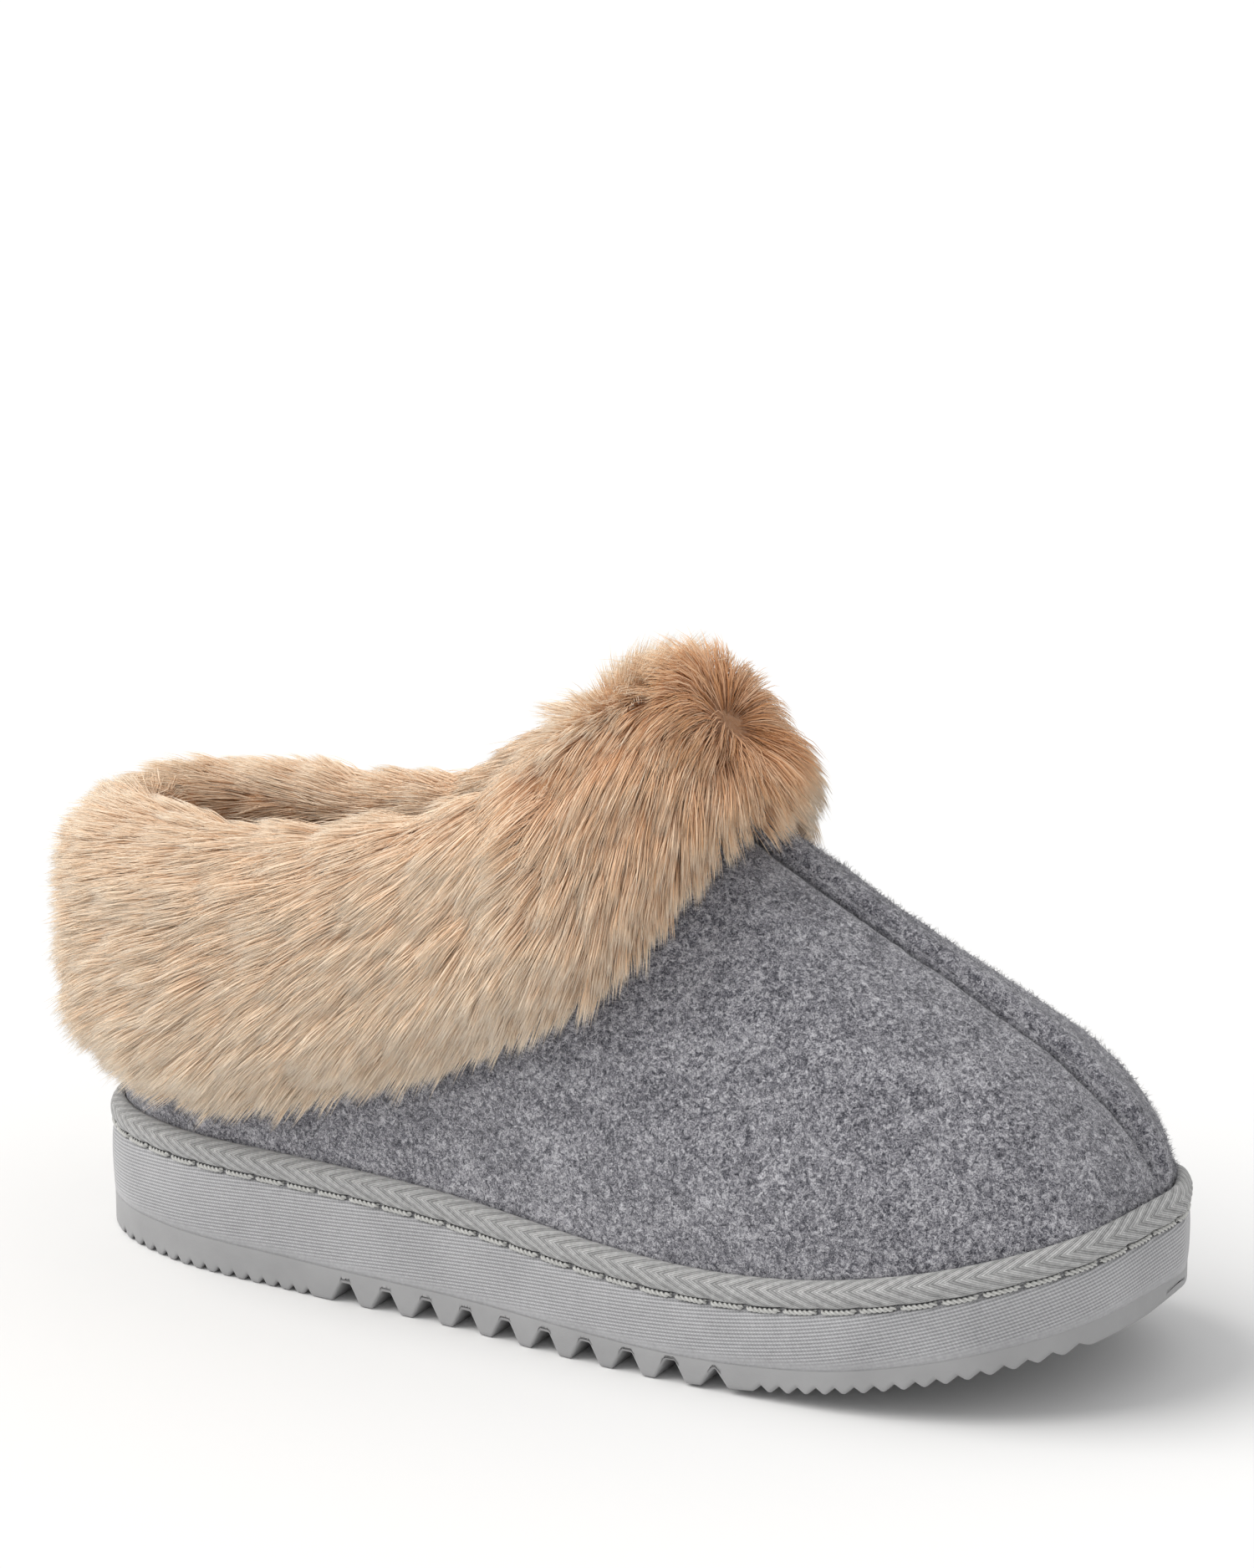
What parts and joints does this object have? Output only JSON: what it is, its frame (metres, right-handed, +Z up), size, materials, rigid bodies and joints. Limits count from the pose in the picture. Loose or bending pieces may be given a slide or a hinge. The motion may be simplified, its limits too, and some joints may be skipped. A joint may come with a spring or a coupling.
{
  "type": "house slipper",
  "caption": "Closed-back house slipper for the right foot: grey felt upper, turned-down tan faux-fur cuff, stitched binding, fabric-covered platform and notched outsole.",
  "frame": {"origin": "on the ground, in the middle of the broad tread bar in front of the heel", "axes": "+X to the toe, +Y to the inner side of the foot, +Z up"},
  "size_m": [0.2769, 0.1, 0.1477],
  "materials": {
    "outsole_rubber": "matte smooth moulded rubber",
    "platform_foam": "closed-cell foam",
    "cover_fabric": "fine ribbed fabric with a slight sheen",
    "binding_fabric": "herringbone tape",
    "thread": "twisted thread",
    "board": "fibre board",
    "bed_foam": "soft foam",
    "plush": "short plush pile",
    "felt": "heathered wool-look felt",
    "seam_tape": "woven reinforcing tape",
    "stiffener": "thermoplastic stiffener sheet",
    "backing": "knitted backing cloth",
    "fur": "long-pile faux fur"
  },
  "bodies": {
    "root": {"outsole": "outsole_rubber", "midsole": "platform_foam", "platform_cover": "cover_fabric", "binding_tape": "binding_fabric", "platform_stitches": "thread", "insole_board": "board", "footbed_foam": "bed_foam", "sock_liner": "plush", "upper_outer_side": "felt", "upper_inner_side": "felt", "front_seam_tape": "seam_tape", "back_seam_tape": "seam_tape", "toe_puff": "stiffener", "heel_counter": "stiffener", "lining_outer_side": "plush", "lining_inner_side": "plush", "cuff_backing": "backing", "fur_cuff": "fur"}
  },
  "joints": []
}
